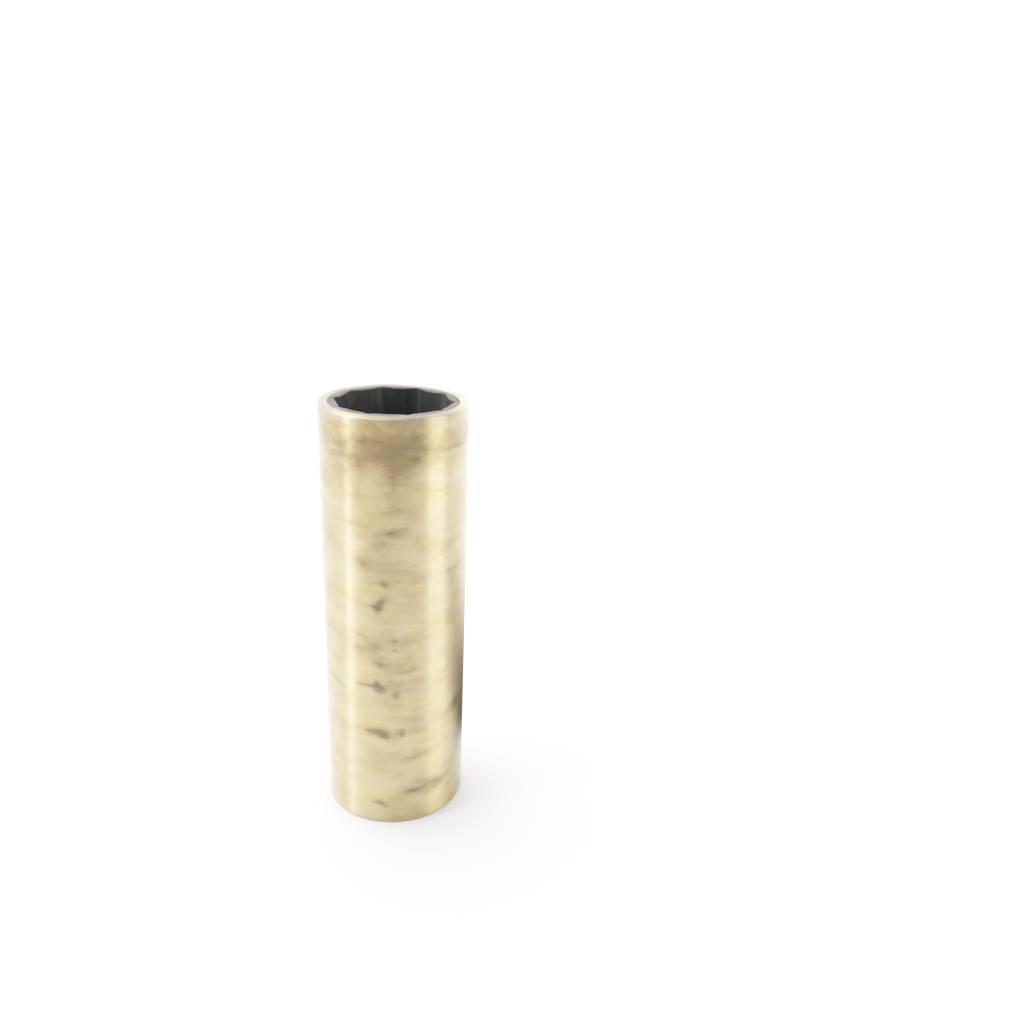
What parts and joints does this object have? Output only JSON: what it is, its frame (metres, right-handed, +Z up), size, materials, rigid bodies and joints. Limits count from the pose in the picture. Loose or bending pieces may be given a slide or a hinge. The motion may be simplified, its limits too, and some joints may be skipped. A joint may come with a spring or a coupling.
{
  "type": "water-lubricated shaft bearing",
  "caption": "Brass sleeve bearing with a fluted rubber lining, pressed into a stern tube or strut to carry a propeller shaft on a film of water.",
  "frame": {"origin": "centre of the lower end face, on the bearing's axis", "axes": "+Z up along the bearing's axis towards the other end face, +X through the middle of one water flute, +Y completing the right-handed frame through the middle of a land"},
  "size_m": [0.0508, 0.0508, 0.1524],
  "materials": {
    "naval_brass": "turned and wiped, pale yellow brass with light brown and grey handling stains",
    "nitrile_rubber": "moulded black rubber, satin, with faint pale dust along the flutes"
  },
  "bodies": {
    "root": {"brass_shell": "naval_brass", "rubber_lining": "nitrile_rubber"}
  },
  "joints": []
}
